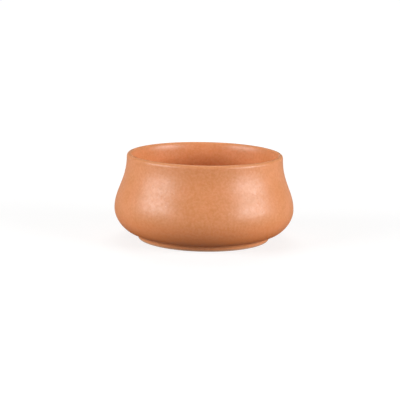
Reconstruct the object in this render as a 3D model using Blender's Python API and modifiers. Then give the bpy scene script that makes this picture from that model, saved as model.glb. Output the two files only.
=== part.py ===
import math

import bpy
from mathutils import Vector
from mathutils.geometry import interpolate_bezier

# Small serving bowl: one turned stoneware body under two coats of satin glaze.
# Driving dimensions of the finished, glazed bowl, in metres
BOWL_HEIGHT = 0.0668
RIM_DIAMETER = 0.1215
CROWN_DIAMETER = 0.1171  # circle along which the lip is highest
BELLY_DIAMETER = 0.1400
BELLY_LEVEL = 0.0238  # height of the widest place
FOOT_DIAMETER = 0.1034
FOOT_HEIGHT = 0.0053  # from the resting face to the crease under the belly

# Clay and glaze
LIP_THICKNESS = 0.0044
LIP_OUTER_DROP = 0.0027  # height of the lip's rounding on the outside
LIP_INNER_DROP = 0.0046
LIP_FULLNESS = 0.55  # 0 is a straight slant, 0.55 a quarter of an ellipse
BELLY_WALL = 0.0050
FLOOR_LEVEL = 0.0095  # top of the floor at the middle of the bowl
FLOOR_DISH = 0.0004  # the floor rises by this much towards its edge
FLOOR_RADIUS = 0.0280  # where the floor starts to turn up into the wall
GLAZE_THICKNESS = 0.0005
GLAZE_GAP = 0.0003  # clearance that keeps coat and clay two solids
GLAZE_END = 0.0012  # the coat is wiped off below this height

# How far each stretch of the wall keeps its direction before it bends away
NECK_PULL = 0.0190
SHOULDER_PULL = 0.0138
BELLY_PULL = 0.0092
UNDERSIDE_PULL = 0.0060
INNER_BELLY_PULL = 0.0115
INNER_FLOOR_PULL = 0.0270
CREASE_FILLET = 0.0032  # radius of the hollow between underside and foot

# Foot ring and the recess inside it
FOOT_RING_WIDTH = 0.0052
FOOT_EDGE = 0.0007  # rounding of the two resting edges
RECESS_DEPTH = 0.0032
RECESS_DOME = 0.0006  # the recess rises by this much towards the middle
RECESS_DRAFT = 0.0005  # the ring's inner wall leans in by this much
RECESS_FILLET = 0.0015
BASE_GLAZE_MARGIN = 0.0008  # bare clay between the base coat and the fillet

# Smoothness: steps round the axis, and points along each stretch of an outline
TURN_STEPS = 48
OUTER_POINTS = 9
INNER_POINTS = 8
LIP_POINTS = 5
FLOOR_POINTS = 4
ARC_POINTS = 4
SAME_POINT = 0.0001  # points of an outline closer than this are one point
MERGE_DISTANCE = 0.00001

GLAZE_COLOR = (0.66, 0.25, 0.096, 1.0)
GLAZE_ROUGHNESS = 0.45
CLAY_COLOR = (0.56, 0.31, 0.19, 1.0)
CLAY_ROUGHNESS = 0.85


def clear_scene():
    for old in list(bpy.data.objects):
        bpy.data.objects.remove(old, do_unlink=True)


def curve_run(start, start_handle, end_handle, end, count):
    between = interpolate_bezier(start, start_handle, end_handle, end, count)[1:-1]
    return [start, *between, end]


def arc_run(center, radius, start_angle, end_angle, count):
    points = []
    for step in range(count):
        angle = start_angle + (end_angle - start_angle) * step / (count - 1)
        points.append(center + radius * Vector((math.cos(angle), math.sin(angle))))
    return points


def rounded_corner(start, corner, end):
    # A soft quarter turn in place of the corner that two faces would make
    start_handle = start.lerp(corner, LIP_FULLNESS)
    end_handle = end.lerp(corner, LIP_FULLNESS)
    return curve_run(start, start_handle, end_handle, end, LIP_POINTS)


def joined(*runs):
    # A run that starts where the last one ended shares that point with it
    points = []
    for run in runs:
        for point in run:
            if not points or (point - points[-1]).length > SAME_POINT:
                points.append(point)
    return points


def side_normal(start, end):
    # Points out of the material, because outlines run up the inside and down the outside
    along = (end - start).normalized()
    return Vector((-along.y, along.x))


def sunk(outline, depth):
    # The same outline, everywhere this deep under the surface; an end on the axis stays on it
    normals = [side_normal(start, end) for start, end in zip(outline, outline[1:])]
    befores = [normals[0], *normals]
    afters = [*normals, normals[-1]]
    if outline[0].x == 0:
        befores[0] = Vector((-normals[0].x, normals[0].y))
    if outline[-1].x == 0:
        afters[-1] = Vector((-normals[-1].x, normals[-1].y))
    moved = []
    for point, before, after in zip(outline, befores, afters):
        moved.append(point - (before + after) * depth / (1 + before.dot(after)))
    return moved


def inside_outline(lip_end):
    # From the middle of the floor up the inner wall to the lip
    floor_middle = Vector((0, FLOOR_LEVEL))
    floor_edge = Vector((FLOOR_RADIUS, FLOOR_LEVEL + FLOOR_DISH))
    floor_pull = Vector((FLOOR_RADIUS / 3, 0))
    belly = Vector((BELLY_DIAMETER / 2 - BELLY_WALL, BELLY_LEVEL))
    floor = curve_run(floor_middle, floor_middle + floor_pull,
                      floor_edge - floor_pull, floor_edge, FLOOR_POINTS)
    turn = curve_run(floor_edge, floor_edge + Vector((INNER_FLOOR_PULL, 0)),
                     belly - Vector((0, INNER_BELLY_PULL)), belly, INNER_POINTS)
    neck = curve_run(belly, belly + Vector((0, SHOULDER_PULL)),
                     lip_end - Vector((0, NECK_PULL)), lip_end, INNER_POINTS)
    return joined(floor, turn, neck)


def outside_outline(lip_end):
    # From the lip down over the belly, in under it and down the foot to where the coat stops
    belly = Vector((BELLY_DIAMETER / 2, BELLY_LEVEL))
    foot_radius = FOOT_DIAMETER / 2
    foot_top = Vector((foot_radius + CREASE_FILLET, FOOT_HEIGHT))
    hollow = foot_top - Vector((0, CREASE_FILLET))
    shoulder = curve_run(lip_end, lip_end - Vector((0, NECK_PULL)),
                         belly + Vector((0, SHOULDER_PULL)), belly, OUTER_POINTS)
    underside = curve_run(belly, belly - Vector((0, BELLY_PULL)),
                          foot_top + Vector((UNDERSIDE_PULL, 0)), foot_top, OUTER_POINTS)
    crease = arc_run(hollow, CREASE_FILLET, math.pi / 2, math.pi, ARC_POINTS)
    return joined(shoulder, underside, crease, [Vector((foot_radius, GLAZE_END))])


def glaze_outline():
    # Half section (radius, height) of the glazed surface; the lip rolls over further inside than outside
    crown = Vector((CROWN_DIAMETER / 2, BOWL_HEIGHT))
    outer_corner = Vector((RIM_DIAMETER / 2, BOWL_HEIGHT))
    inner_corner = outer_corner - Vector((LIP_THICKNESS, 0))
    lip_inside = inner_corner - Vector((0, LIP_INNER_DROP))
    lip_outside = outer_corner - Vector((0, LIP_OUTER_DROP))
    lip = joined(rounded_corner(lip_inside, inner_corner, crown),
                 rounded_corner(crown, outer_corner, lip_outside))
    return joined(inside_outline(lip_inside), lip, outside_outline(lip_outside))


def recess_ceiling(ring_inner):
    # The domed clay face under the floor, from its edge in to the middle
    edge = Vector((ring_inner - RECESS_DRAFT - RECESS_FILLET, RECESS_DEPTH))
    middle = Vector((0, RECESS_DEPTH + RECESS_DOME))
    pull = Vector((edge.x / 3, 0))
    return curve_run(edge, edge - pull, middle + pull, middle, FLOOR_POINTS)


def foot_ring_outline(ring_outer, ring_inner):
    # Bare clay: the resting face between two rounded edges, then up the ring's inner wall
    outer_edge = Vector((ring_outer - FOOT_EDGE, FOOT_EDGE))
    inner_edge = Vector((ring_inner + FOOT_EDGE, FOOT_EDGE))
    fillet = Vector((ring_inner - RECESS_DRAFT - RECESS_FILLET, RECESS_DEPTH - RECESS_FILLET))
    return joined(arc_run(outer_edge, FOOT_EDGE, 0, -math.pi / 2, ARC_POINTS),
                  arc_run(inner_edge, FOOT_EDGE, -math.pi / 2, -math.pi, ARC_POINTS),
                  arc_run(fillet, RECESS_FILLET, 0, math.pi / 2, ARC_POINTS))


def principled(name, color, roughness):
    material = bpy.data.materials.new(name)
    material.use_nodes = True
    shader = material.node_tree.nodes["Principled BSDF"]
    shader.inputs["Base Color"].default_value = color
    shader.inputs["Roughness"].default_value = roughness
    shader.inputs["Metallic"].default_value = 0.0
    return material


def turned_part(name, outline, material, bowl, collection):
    mesh = bpy.data.meshes.new(name)
    edges = [(index, index + 1) for index in range(len(outline) - 1)]
    mesh.from_pydata([(point.x, 0, point.y) for point in outline], edges, [])
    mesh.materials.append(material)
    part = bpy.data.objects.new(name, mesh)
    part.parent = bowl
    collection.objects.link(part)
    screw = part.modifiers.new("turn", 'SCREW')
    screw.axis = 'Z'
    screw.steps = TURN_STEPS
    screw.render_steps = TURN_STEPS
    screw.use_merge_vertices = True
    screw.merge_threshold = MERGE_DISTANCE
    screw.use_smooth_shade = True
    return part


def build_bowl():
    clear_scene()
    collection = bpy.data.collections.new("small_serving_bowl")
    bpy.context.scene.collection.children.link(collection)
    bowl = bpy.data.objects.new("bowl_axis", None)
    collection.objects.link(bowl)

    coat = glaze_outline()
    coat_back = sunk(coat, GLAZE_THICKNESS)
    turned_part("glaze_coat", coat + coat_back[::-1],
                principled("satin_glaze", GLAZE_COLOR, GLAZE_ROUGHNESS), bowl, collection)

    clay_depth = GLAZE_THICKNESS + GLAZE_GAP
    ring_outer = FOOT_DIAMETER / 2 - clay_depth
    ring_inner = ring_outer - FOOT_RING_WIDTH
    ceiling = recess_ceiling(ring_inner)
    clay = joined(sunk(coat, clay_depth), foot_ring_outline(ring_outer, ring_inner), ceiling)
    turned_part("stoneware_body", clay,
                principled("bare_stoneware", CLAY_COLOR, CLAY_ROUGHNESS), bowl, collection)

    # The base coat hangs under the recess, so it lies outside the clay: a negative depth
    inset = Vector((BASE_GLAZE_MARGIN, 0))
    coated = [ceiling[0] - inset, *ceiling[1:]]
    base_top = sunk(coated, -GLAZE_GAP)
    base_face = sunk(coated, -GLAZE_GAP - GLAZE_THICKNESS)
    turned_part("base_glaze", base_top[::-1] + base_face,
                principled("base_satin_glaze", GLAZE_COLOR, GLAZE_ROUGHNESS), bowl, collection)


build_bowl()
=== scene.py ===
import math

import bmesh
import bpy
from mathutils import Matrix, Vector, noise


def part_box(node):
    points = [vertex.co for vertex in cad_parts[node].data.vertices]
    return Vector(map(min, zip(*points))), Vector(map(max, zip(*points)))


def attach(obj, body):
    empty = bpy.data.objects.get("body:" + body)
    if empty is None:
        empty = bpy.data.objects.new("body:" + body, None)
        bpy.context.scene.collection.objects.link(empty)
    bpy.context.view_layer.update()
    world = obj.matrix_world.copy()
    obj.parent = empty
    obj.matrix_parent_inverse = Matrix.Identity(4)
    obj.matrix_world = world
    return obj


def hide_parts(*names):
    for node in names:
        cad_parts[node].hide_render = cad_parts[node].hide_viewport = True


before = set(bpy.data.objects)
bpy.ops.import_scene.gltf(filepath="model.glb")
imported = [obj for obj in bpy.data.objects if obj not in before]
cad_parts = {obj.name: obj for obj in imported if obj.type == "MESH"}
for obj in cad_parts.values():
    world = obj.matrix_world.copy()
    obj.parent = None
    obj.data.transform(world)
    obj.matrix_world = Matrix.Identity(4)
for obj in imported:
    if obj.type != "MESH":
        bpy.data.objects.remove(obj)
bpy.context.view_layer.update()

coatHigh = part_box("glaze_coat")[1]
print("frame loaded:", ", ".join(sorted(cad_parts)))

# Section of the glazed bowl, in metres. Its reach and its top come from the frame.
bowlForm = {
    "bellyRadius": coatHigh.x,
    "top": coatHigh.z,
    "bellyLevel": 0.0238,          # height of the widest place
    "rimRadius": 0.06075,
    "crownRadius": 0.05855,        # where the lip is highest
    "lipThickness": 0.0044,
    "lipOuterDrop": 0.0027,        # height of the lip's rounding outside
    "lipInnerDrop": 0.0060,        # and inside, where it rolls over further
    "lipFullness": 0.55,           # 0 is a straight slant, 0.55 a quarter of an ellipse
    "bellyWall": 0.0050,
    "footRadius": 0.0517,
    "footHeight": 0.0053,
    "creaseFillet": 0.0032,        # radius of the hollow between underside and foot
    "floorLevel": 0.0095,
    "floorDish": 0.0004,           # the floor rises by this much towards its edge
    "floorRadius": 0.0280,
    "neckPull": 0.0190,            # pulls: how far a stretch keeps its direction
    "shoulderPull": 0.0138,
    "bellyPull": 0.0092,
    "undersidePull": 0.0060,
    "innerBellyPull": 0.0115,
    "innerFloorPull": 0.0270,
}

# How finely the pieces are turned
turning = {
    "sides": 216,
    "curvePoints": 30,
    "floorPoints": 14,
    "lipPoints": 16,
    "arcPoints": 8,
    "samePoint": 1e-6,             # points closer than this are one point
}


def clamped(value):
    return min(1, max(0, value))


def curveRun(start, startHandle, endHandle, end, count=turning["curvePoints"]):
    points = []
    for step in range(count + 1):
        t = step / count
        s = 1 - t
        points.append(start * s ** 3 + startHandle * 3 * s * s * t
                      + endHandle * 3 * s * t * t + end * t ** 3)
    return points


def arcRun(center, radius, startAngle, endAngle, count=turning["arcPoints"]):
    points = []
    for step in range(count + 1):
        angle = startAngle + (endAngle - startAngle) * step / count
        points.append(center + radius * Vector((math.cos(angle), math.sin(angle))))
    return points


def dishRun(start, end):
    # level at both ends, for the floor and for the recess under it
    pull = Vector(((end.x - start.x) / 3, 0))
    return curveRun(start, start + pull, end - pull, end, turning["floorPoints"])


def roundedCorner(start, corner, end, fullness):
    startHandle = start.lerp(corner, fullness)
    endHandle = end.lerp(corner, fullness)
    return curveRun(start, startHandle, endHandle, end, turning["lipPoints"])


def joined(*runs):
    # a run that starts where the last one ended shares that point with it
    points = []
    for run in runs:
        for point in run:
            if not points or (point - points[-1]).length > turning["samePoint"]:
                points.append(point)
    return points


def sunk(outline, depth):
    # the outline moved this deep under its own surface; an end on the axis stays on it
    normals = []
    for start, end in zip(outline, outline[1:]):
        along = (end - start).normalized()
        normals.append(Vector((-along.y, along.x)))
    before = [normals[0]] + normals
    after = normals + [normals[-1]]
    if outline[0].x == 0:
        before[0] = Vector((-normals[0].x, normals[0].y))
    if outline[-1].x == 0:
        after[-1] = Vector((-normals[-1].x, normals[-1].y))
    return [p - (a + b) * depth / (1 + a.dot(b)) for p, a, b in zip(outline, before, after)]


def glazedOutline(form):
    # from the middle of the floor up the inside, over the lip, down the outside and round the crease
    outerCorner = Vector((form["rimRadius"], form["top"]))
    innerCorner = outerCorner - Vector((form["lipThickness"], 0))
    crown = Vector((form["crownRadius"], form["top"]))
    lipOuter = outerCorner - Vector((0, form["lipOuterDrop"]))
    lipInner = innerCorner - Vector((0, form["lipInnerDrop"]))
    downNeck = Vector((0, -form["neckPull"]))
    upShoulder = Vector((0, form["shoulderPull"]))
    belly = Vector((form["bellyRadius"], form["bellyLevel"]))
    innerBelly = belly - Vector((form["bellyWall"], 0))
    footTop = Vector((form["footRadius"] + form["creaseFillet"], form["footHeight"]))
    creaseMiddle = footTop - Vector((0, form["creaseFillet"]))
    floorMiddle = Vector((0, form["floorLevel"]))
    floorEdge = Vector((form["floorRadius"], form["floorLevel"] + form["floorDish"]))

    floor = dishRun(floorMiddle, floorEdge)
    turn = curveRun(floorEdge, floorEdge + Vector((form["innerFloorPull"], 0)),
                    innerBelly - Vector((0, form["innerBellyPull"])), innerBelly)
    innerNeck = curveRun(innerBelly, innerBelly + upShoulder, lipInner + downNeck, lipInner)
    lip = joined(roundedCorner(lipInner, innerCorner, crown, form["lipFullness"]),
                 roundedCorner(crown, outerCorner, lipOuter, form["lipFullness"]))
    shoulder = curveRun(lipOuter, lipOuter + downNeck, belly + upShoulder, belly)
    underside = curveRun(belly, belly - Vector((0, form["bellyPull"])),
                         footTop + Vector((form["undersidePull"], 0)), footTop)
    crease = arcRun(creaseMiddle, form["creaseFillet"], math.pi / 2, math.pi)
    return joined(floor, turn, innerNeck, lip, shoulder, underside, crease)


def turnedPiece(name, outline, shift):
    # turns a half section round the axis; shift(point, angle) gives each corner its own place
    bm = bmesh.new()
    rings = []
    for point in outline:
        if point.x == 0:
            rings.append([bm.verts.new((0, 0, point.y))] * turning["sides"])
            continue
        ring = []
        for side in range(turning["sides"]):
            angle = 2 * math.pi * side / turning["sides"]
            place = shift(point, angle)
            ring.append(bm.verts.new((place.x * math.cos(angle), place.x * math.sin(angle), place.y)))
        rings.append(ring)
    for ring, nextRing in zip(rings, rings[1:]):
        for side in range(turning["sides"]):
            after = (side + 1) % turning["sides"]
            corners = [ring[side], nextRing[side], nextRing[after], ring[after]]
            bm.faces.new(list(dict.fromkeys(corners)))  # on the axis two corners are one
    bm.normal_update()
    mesh = bpy.data.meshes.new(name)
    bm.to_mesh(mesh)
    bm.free()
    mesh.shade_smooth()
    piece = bpy.data.objects.new(name, mesh)
    bpy.context.scene.collection.objects.link(piece)
    print(name, "turned:", len(mesh.polygons), "faces")
    return piece


# Small faults of hand work, always inwards and downwards, so that the bowl keeps its size
handwork = {
    "outOfRound": 0.00014,
    "swaySize": 1.3,        # a larger size gives more and shorter waves round the bowl
    "swayRise": 1.5,        # how much these waves change from foot to rim
    "swayFull": 1 / 3,      # the foot is trimmed true; the sway is full from this share of the height up
    "rimDip": 0.00012,
    "dipSize": 1.7,
    "dipLayer": 7.1,        # another layer gives other waves
    "dipFade": 3,           # power by which the dip fades below the rim
    "endWander": 0.00025,   # the wiped edge of the glaze wanders up by this much
    "wanderSize": 6,
    "wanderLayer": 3.7,
}


def waves(angle, size, layer):
    # smooth uneven waves from 0 to 1 that close on themselves round the bowl
    return 0.5 + 0.5 * noise.noise(Vector((size * math.cos(angle), size * math.sin(angle), layer)))


def handTurned(point, angle):
    lift = point.y / bowlForm["top"]
    sway = waves(angle, handwork["swaySize"], handwork["swayRise"] * lift)
    dip = waves(angle, handwork["dipSize"], handwork["dipLayer"])
    return Vector((point.x - handwork["outOfRound"] * sway * clamped(lift / handwork["swayFull"]),
                   point.y - handwork["rimDip"] * dip * lift ** handwork["dipFade"]))


# The glaze coat, dipped and then wiped off the foot's lower edge
coatForm = {
    "thickness": 0.00046,
    "gap": 0.00004,         # between coat and clay
    "endLevel": 0.0012,     # the coat is wiped off below this height
    "endReach": 0.0014,     # how far up the wander of the wiped edge is felt
    "hiddenStep": 2,        # the faces between coat and clay have every second point
}


def wipedEdge(point, angle):
    place = handTurned(point, angle)
    nearEnd = 1 - (point.y - coatForm["endLevel"]) / coatForm["endReach"]
    wander = waves(angle, handwork["wanderSize"], handwork["wanderLayer"])
    place.y += handwork["endWander"] * wander * clamped(nearEnd)
    return place


glazed = glazedOutline(bowlForm)
footWall = [Vector((bowlForm["footRadius"], coatForm["endLevel"] + coatForm["thickness"] / 2))]
coatFace = joined(glazed, footWall)
hidden = coatFace[:-1:coatForm["hiddenStep"]] + coatFace[-1:]
coatBack = sunk(hidden, coatForm["thickness"])
bead = arcRun((coatFace[-1] + coatBack[-1]) / 2, coatForm["thickness"] / 2, 0, -math.pi)
glazeCoat = turnedPiece("satin_glaze_coat", joined(coatFace, bead, coatBack[::-1]), wipedEdge)

# The clay body: the same section under the coat, and the foot ring with its recess
footForm = {
    "ringWidth": 0.0052,
    "edge": 0.0007,         # rounding of the two resting edges
    "recessDepth": 0.0032,
    "recessDome": 0.0006,   # the recess rises by this much towards the middle
    "recessDraft": 0.0005,  # the ring's inner wall leans in by this much
    "recessFillet": 0.0015,
}
clayDepth = coatForm["thickness"] + coatForm["gap"]
ringOuter = bowlForm["footRadius"] - clayDepth
ringInner = ringOuter - footForm["ringWidth"]
edge = footForm["edge"]
fillet = footForm["recessFillet"]
ceilingEdge = Vector((ringInner - footForm["recessDraft"] - fillet, footForm["recessDepth"]))
ceilingMiddle = Vector((0, footForm["recessDepth"] + footForm["recessDome"]))
ceiling = dishRun(ceilingEdge, ceilingMiddle)
footRing = joined(arcRun(Vector((ringOuter - edge, edge)), edge, 0, -math.pi / 2),
                  arcRun(Vector((ringInner + edge, edge)), edge, -math.pi / 2, -math.pi),
                  arcRun(ceilingEdge - Vector((0, fillet)), fillet, 0, math.pi / 2))
clayBody = turnedPiece("bare_clay_body", joined(sunk(hidden, clayDepth), footRing, ceiling), handTurned)

# The coat in the recess, parted from the main one by the wiped ring
baseForm = {
    "margin": 0.0008,       # bare clay left at the edge of the recess
    "thickness": 0.0005,
    "gap": 0.00004,
}
coated = [ceiling[0] - Vector((baseForm["margin"], 0))] + ceiling[1:]
baseTop = sunk(coated, -baseForm["gap"])
baseFace = sunk(coated, -baseForm["thickness"])
baseEdge = arcRun((baseTop[0] + baseFace[0]) / 2, (baseTop[0] - baseFace[0]).length / 2,
                  math.pi / 2, -math.pi / 2)
baseGlaze = turnedPiece("recess_glaze", joined(baseTop[::-1], baseEdge, baseFace), handTurned)

# How thick the glaze lies, with painted shade: 0 drawn thin over the lip, 0.5 even, 1 in the crease under the
# belly.
# The deeper colour under the belly and, a little, inside towards the floor is painted shade as well as
# gathered glaze.
poolingAndShade = {
    "lipReach": 0.0016,     # the glaze is thin down to this far below the top of the lip
    "runStart": 0.0240,     # outside, gathered glaze and painted shade deepen from this height down to the crease
    "footEven": 0.0034,     # and on the foot it lies even again below this
    "insideStart": 0.0620,  # inside, gathered glaze and painted shade deepen from this height down
    "insideReach": 0.0140,
    "insideMost": 0.22,
}


def markGlazeDepthAndShade(piece, form):
    depth = piece.data.attributes.new("poolingAndShade", 'FLOAT', 'POINT')
    for index, vertex in enumerate(piece.data.vertices):
        radius = math.hypot(vertex.co.x, vertex.co.y)
        height = vertex.co.z
        thin = clamped(1 - (form["top"] - height) / poolingAndShade["lipReach"])
        facesAxis = vertex.normal.x * vertex.co.x + vertex.normal.y * vertex.co.y < 0
        if facesAxis or radius < form["floorRadius"]:
            gathered = (poolingAndShade["insideStart"] - height) / poolingAndShade["insideReach"]
            pooled = poolingAndShade["insideMost"] * clamped(gathered)
        else:
            # outside, the colour deepens under the belly down to the crease: painted shade as well as run
            # glaze
            run = (poolingAndShade["runStart"] - height) / (poolingAndShade["runStart"] - form["footHeight"])
            onFoot = (height - poolingAndShade["footEven"]) / (form["footHeight"] - poolingAndShade["footEven"])
            pooled = clamped(run) * clamped(onFoot)
        depth.data[index].value = 0.5 - 0.5 * thin + 0.5 * pooled


markGlazeDepthAndShade(glazeCoat, bowlForm)
markGlazeDepthAndShade(baseGlaze, bowlForm)
print("glaze thickness marked")


def linear(hexColor):
    channels = [int(hexColor[i:i + 2], 16) / 255 for i in (1, 3, 5)]
    return tuple(c / 12.92 if c <= 0.04045 else ((c + 0.055) / 1.055) ** 2.4 for c in channels) + (1.0,)


def addNode(tree, kind, settings=None, links=None):
    node = tree.nodes.new(kind)
    for key, value in (settings or {}).items():
        if isinstance(key, int) or key in node.inputs:
            node.inputs[key].default_value = value
        else:
            setattr(node, key, value)
    for key, source in (links or {}).items():
        tree.links.new(source, node.inputs[key])
    return node


def newMaterial(name):
    material = bpy.data.materials.new(name)
    material.use_nodes = True
    material.node_tree.nodes.clear()
    return material, material.node_tree


# Satin glaze fired on red stoneware: an even warm orange with a soft wide shine and fine pale specks. The
# melt leaves an orange-peel skin with a few pits. It breaks paler where it runs thin over the lip. It is
# deeper inside towards the floor and under the belly to the crease: thicker glaze there, and painted shade as
# well.
# A span is the stretch of a pattern, or of the glaze depth and painted shade, that is used.
glazeLook = {
    "color": "#D28554",
    "cloudColor": "#CB804B",
    "cloudMm": 11.0,
    "cloudSpan": {"From Min": 0.35, "From Max": 0.65},
    "thinColor": "#DB9360",
    "thinSpan": {"From Min": 0.5, "From Max": 0.0},
    # thick: deeper orange inside towards the floor and under the belly, part thicker glaze, part painted
    # shade
    "thickColor": "#DB844D",
    "thickSpan": {"From Min": 0.5, "From Max": 0.7},
    "speckColor": "#EFB08A",
    "speckMm": 1.8,         # real specks are about 0.5 mm wide; drawn coarser, so that they show
    "speckSpan": {"From Min": 0.3, "From Max": 0.7, "To Max": 0.22},
    # the deepest orange, under the belly and in the crease, is painted shade besides pooled glaze
    "pooledColor": "#E4813A",
    "pooledSpan": {"From Min": 0.74, "From Max": 0.98},
    "peelMm": 3.0,
    "peelDepth": 0.00007,
    "peelSpan": {"From Min": 0.3, "From Max": 0.7},
    "pitMm": 2.6,           # real pits are about 0.3 mm wide; drawn 1 mm wide, so that they show
    "pitDepth": 0.00005,
    "pitSpan": {"From Min": 0.1, "From Max": 0.3},
    "roughness": 0.42,
    "roughnessSpread": 0.05,
    "ior": 1.5,
}


def satinGlaze(name, look):
    material, tree = newMaterial(name)
    place = addNode(tree, "ShaderNodeTexCoord").outputs["Object"]

    cloud = addNode(tree, "ShaderNodeTexNoise",
                    {"Scale": 1000 / look["cloudMm"], "Detail": 3.0, "Roughness": 0.6}, {"Vector": place})
    clouded = addNode(tree, "ShaderNodeMapRange", look["cloudSpan"], {"Value": cloud.outputs[0]})
    color = addNode(tree, "ShaderNodeMix",
                    {"data_type": 'RGBA', 6: linear(look["color"]), 7: linear(look["cloudColor"])},
                    {0: clouded.outputs[0]})
    depth = addNode(tree, "ShaderNodeAttribute", {"attribute_name": "poolingAndShade"}).outputs["Fac"]
    specks = addNode(tree, "ShaderNodeTexNoise", {"Scale": 1000 / look["speckMm"], "Detail": 1.0},
                     {"Vector": place}).outputs[0]
    # each layer goes over those before it
    # the thick and pooled layers are painted shade as well as deeper glaze, inside and under the belly
    for layer, source in (("thin", depth), ("thick", depth), ("speck", specks), ("pooled", depth)):
        share = addNode(tree, "ShaderNodeMapRange", look[layer + "Span"], {"Value": source})
        color = addNode(tree, "ShaderNodeMix", {"data_type": 'RGBA', 7: linear(look[layer + "Color"])},
                        {0: share.outputs[0], 6: color.outputs[2]})

    peel = addNode(tree, "ShaderNodeTexNoise",
                   {"Scale": 1000 / look["peelMm"], "Detail": 2.0, "Roughness": 0.5}, {"Vector": place})
    skin = addNode(tree, "ShaderNodeBump", {"Distance": look["peelDepth"], "Strength": 1.0},
                   {"Height": peel.outputs[0]})
    pits = addNode(tree, "ShaderNodeTexVoronoi", {"Scale": 1000 / look["pitMm"], "Randomness": 1.0},
                   {"Vector": place})
    pit = addNode(tree, "ShaderNodeMapRange", {**look["pitSpan"], "interpolation_type": 'SMOOTHSTEP'},
                  {"Value": pits.outputs["Distance"]})
    pitted = addNode(tree, "ShaderNodeBump", {"Distance": look["pitDepth"], "Strength": 1.0},
                     {"Height": pit.outputs[0], "Normal": skin.outputs[0]})
    roughness = addNode(tree, "ShaderNodeMapRange", {
        **look["peelSpan"],
        "To Min": look["roughness"] - look["roughnessSpread"],
        "To Max": look["roughness"] + look["roughnessSpread"],
    }, {"Value": peel.outputs[0]})

    shader = addNode(tree, "ShaderNodeBsdfPrincipled", {"IOR": look["ior"]}, {
        "Base Color": color.outputs[2],
        "Roughness": roughness.outputs[0],
        "Normal": pitted.outputs[0],
    })
    addNode(tree, "ShaderNodeOutputMaterial", links={"Surface": shader.outputs[0]})
    return material


# Bare fired stoneware, wiped with a sponge: matt, sandy and paler than the glaze, with dark grit
clayLook = {
    "color": "#C59778",
    "shadeColor": "#B7835F",
    "cloudMm": 7.0,
    "gritColor": "#7F5A45",
    "gritMm": 1.1,          # sand is nearer 0.3 mm; drawn coarser, so that it shows
    "gritSpan": {"From Min": 0.12, "From Max": 0.22, "To Min": 0.55, "To Max": 0.0},
    "gritDepth": 0.00005,
    "roughness": 0.86,
}


def bareStoneware(name, look):
    material, tree = newMaterial(name)
    place = addNode(tree, "ShaderNodeTexCoord").outputs["Object"]
    cloud = addNode(tree, "ShaderNodeTexNoise", {"Scale": 1000 / look["cloudMm"], "Detail": 4.0},
                    {"Vector": place})
    body = addNode(tree, "ShaderNodeMix",
                   {"data_type": 'RGBA', 6: linear(look["color"]), 7: linear(look["shadeColor"])},
                   {0: cloud.outputs[0]})
    grains = addNode(tree, "ShaderNodeTexVoronoi", {"Scale": 1000 / look["gritMm"]}, {"Vector": place})
    grain = addNode(tree, "ShaderNodeMapRange", look["gritSpan"], {"Value": grains.outputs["Distance"]})
    color = addNode(tree, "ShaderNodeMix", {"data_type": 'RGBA', 7: linear(look["gritColor"])},
                    {0: grain.outputs[0], 6: body.outputs[2]})
    sand = addNode(tree, "ShaderNodeBump", {"Distance": look["gritDepth"], "Strength": 1.0},
                   {"Height": grains.outputs["Distance"]})
    shader = addNode(tree, "ShaderNodeBsdfPrincipled", {"Roughness": look["roughness"]}, {
        "Base Color": color.outputs[2],
        "Normal": sand.outputs[0],
    })
    addNode(tree, "ShaderNodeOutputMaterial", links={"Surface": shader.outputs[0]})
    return material


glazeCoat.data.materials.append(satinGlaze("satin_glaze_on_stoneware", glazeLook))
baseGlaze.data.materials.append(satinGlaze("satin_glaze_in_recess", glazeLook))
clayBody.data.materials.append(bareStoneware("bare_fired_stoneware", clayLook))
print("materials made")

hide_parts("glaze_coat")
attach(glazeCoat, "root")
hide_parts("stoneware_body")
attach(clayBody, "root")
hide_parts("base_glaze")
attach(baseGlaze, "root")

scene = bpy.context.scene
scene.view_settings.view_transform = 'Standard'

# Paper sweep: it shows white, and bounces as much light as grey paper does
sweep = {
    "reach": 12.0,          # metres to each side
    "drop": 0.0003,         # just under the foot
    "bounce": "#959595",
    "nearGlow": 0.75,       # what the camera sees near the bowl, besides the light that falls there
    "nearEnd": 0.30,        # from here out the paper shows whiter
    "farStart": 1.50,       # and from here plain white
    "mirroredPaper": 0.5,   # how bright the far paper is when the glaze mirrors it
}
bpy.ops.mesh.primitive_plane_add(size=2 * sweep["reach"], location=(0, 0, -sweep["drop"]))
paper = bpy.context.object
paper.name = "paper_sweep"
paperMaterial, tree = newMaterial("white_paper")
place = addNode(tree, "ShaderNodeTexCoord")
distance = addNode(tree, "ShaderNodeVectorMath", {"operation": 'LENGTH'}, {0: place.outputs["Object"]})
far = addNode(tree, "ShaderNodeMapRange", {"From Min": sweep["nearEnd"], "From Max": sweep["farStart"]},
              {"Value": distance.outputs["Value"]})
rays = addNode(tree, "ShaderNodeLightPath")
mirrored = addNode(tree, "ShaderNodeMath", {"operation": 'MAXIMUM'},
                   {0: rays.outputs["Is Glossy Ray"], 1: rays.outputs["Is Transmission Ray"]})
farGlow = addNode(tree, "ShaderNodeMapRange", {"To Max": sweep["mirroredPaper"]},
                  {"Value": far.outputs[0]})
mirroredGlow = addNode(tree, "ShaderNodeMath", {"operation": 'MULTIPLY'},
                       {0: mirrored.outputs[0], 1: farGlow.outputs[0]})
seen = addNode(tree, "ShaderNodeMapRange", {"To Min": sweep["nearGlow"], "To Max": 1.0},
               {"Value": far.outputs[0]})
seenGlow = addNode(tree, "ShaderNodeMath", {"operation": 'MULTIPLY'},
                   {0: rays.outputs["Is Camera Ray"], 1: seen.outputs[0]})
glowStrength = addNode(tree, "ShaderNodeMath", {"operation": 'ADD'},
                       {0: mirroredGlow.outputs[0], 1: seenGlow.outputs[0]})
fibre = addNode(tree, "ShaderNodeBsdfDiffuse", {"Color": linear(sweep["bounce"])})
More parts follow.
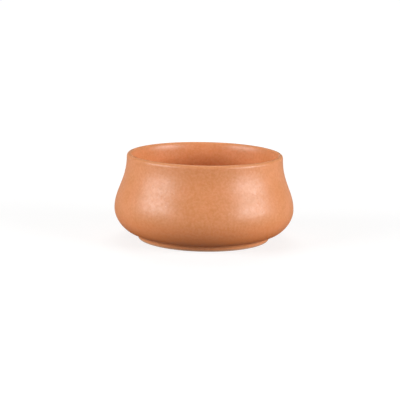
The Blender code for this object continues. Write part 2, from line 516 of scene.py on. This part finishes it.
glow = addNode(tree, "ShaderNodeEmission", {"Color": (1, 1, 1, 1)}, {"Strength": glowStrength.outputs[0]})
lit = addNode(tree, "ShaderNodeAddShader", links={0: fibre.outputs[0], 1: glow.outputs[0]})
addNode(tree, "ShaderNodeOutputMaterial", links={"Surface": lit.outputs[0]})
paper.data.materials.append(paperMaterial)

# The room round it: white to the camera, dim as a light, and in the glaze white only low down
surround = {
    "light": 0.03,
    "whiteUpTo": math.radians(0.5),  # what the glaze mirrors is white up to here
    "dimFrom": math.radians(4),      # and dim from here up
    "mirroredRoom": 0.03,
}
world = bpy.data.worlds.new("white_surround")
scene.world = world
world.use_nodes = True
tree = world.node_tree
tree.nodes.clear()
rays = addNode(tree, "ShaderNodeLightPath")
mirrored = addNode(tree, "ShaderNodeMath", {"operation": 'MAXIMUM'},
                   {0: rays.outputs["Is Glossy Ray"], 1: rays.outputs["Is Transmission Ray"]})
place = addNode(tree, "ShaderNodeTexCoord")
heading = addNode(tree, "ShaderNodeSeparateXYZ", links={0: place.outputs["Generated"]})
room = addNode(tree, "ShaderNodeMapRange", {
    "From Min": math.sin(surround["whiteUpTo"]), "From Max": math.sin(surround["dimFrom"]),
    "To Min": 1.0, "To Max": surround["mirroredRoom"],
}, {"Value": heading.outputs["Z"]})
mirroredRoom = addNode(tree, "ShaderNodeMath", {"operation": 'MULTIPLY'},
                       {0: mirrored.outputs[0], 1: room.outputs[0]})
shown = addNode(tree, "ShaderNodeMath", {"operation": 'MAXIMUM'},
                {0: rays.outputs["Is Camera Ray"], 1: mirroredRoom.outputs[0]})
strength = addNode(tree, "ShaderNodeMapRange", {"To Min": surround["light"], "To Max": 1.0},
                   {"Value": shown.outputs[0]})
background = addNode(tree, "ShaderNodeBackground", {"Color": (1, 1, 1, 1)}, {"Strength": strength.outputs[0]})
addNode(tree, "ShaderNodeOutputWorld", links={"Surface": background.outputs[0]})

# Two soft boxes, low and well to the sides, as the two highlights show, a weak fill from the front,
# a small light over the back of the rim, and a fill that lights the bowl's far side without a shine
softBoxes = {
    "left_box": {"azimuth": -66, "elevation": 19, "width": 0.92, "height": 0.47, "watts": 14.8,
                 "color": "#FFFFFF", "shines": True},
    "right_box": {"azimuth": 65, "elevation": 16.5, "width": 0.87, "height": 0.38, "watts": 15.7,
                  "color": "#FFFFFF", "shines": True},
    "front_fill": {"azimuth": 0, "elevation": 30, "width": 0.50, "height": 0.30, "watts": 0.9,
                   "color": "#FFE7CB", "shines": True},
    "rim_light": {"azimuth": 180, "elevation": 60, "width": 0.60, "height": 0.40, "watts": 3.0,
                  "color": "#FFFFFF", "shines": True},
    "back_fill": {"azimuth": 180, "elevation": 20, "width": 1.00, "height": 0.30, "watts": 4.6,
                  "color": "#FFFFFF", "shines": False},
}
boxDistance = 1.2
bowlMiddle = Vector((0, 0, 0.035))
for name, box in softBoxes.items():
    lamp = bpy.data.lights.new(name, 'AREA')
    lamp.shape = 'RECTANGLE'
    lamp.size = box["width"]
    lamp.size_y = box["height"]
    lamp.energy = box["watts"]
    lamp.color = linear(box["color"])[:3]
    azimuth = math.radians(box["azimuth"])  # 0 is the camera's side, and it grows to the right
    elevation = math.radians(box["elevation"])
    towards = Vector((math.sin(azimuth) * math.cos(elevation), -math.cos(azimuth) * math.cos(elevation),
                      math.sin(elevation)))
    stand = bpy.data.objects.new(name, lamp)
    stand.location = bowlMiddle + towards * boxDistance
    stand.rotation_euler = towards.to_track_quat('Z', 'Y').to_euler()
    stand.visible_glossy = box["shines"]
    scene.collection.objects.link(stand)
print("paper and lamps set")

# Long lens from a little above the rim, rolled by a degree as the photograph is
view = {
    "distance": 1.0938,
    "elevation": math.radians(10.66),
    "roll": math.radians(1.093),
    "lens": 126.0,
    "sensor": 36.0,
    "stand": Vector((0, 0, 0.03438)),      # distance and elevation are taken from here
    "aim": Vector((-0.00318, -0.00086, 0.02982)),
}
cameraData = bpy.data.cameras.new("camera")
cameraData.lens = view["lens"]
cameraData.sensor_width = view["sensor"]
camera = bpy.data.objects.new("camera", cameraData)
away = Vector((0, -math.cos(view["elevation"]), math.sin(view["elevation"])))
camera.location = view["stand"] + view["distance"] * away
facing = (view["aim"] - camera.location).to_track_quat('-Z', 'Y').to_matrix()
camera.rotation_euler = (facing @ Matrix.Rotation(view["roll"], 3, 'Z')).to_euler()
scene.collection.objects.link(camera)
scene.camera = camera
print("camera set")
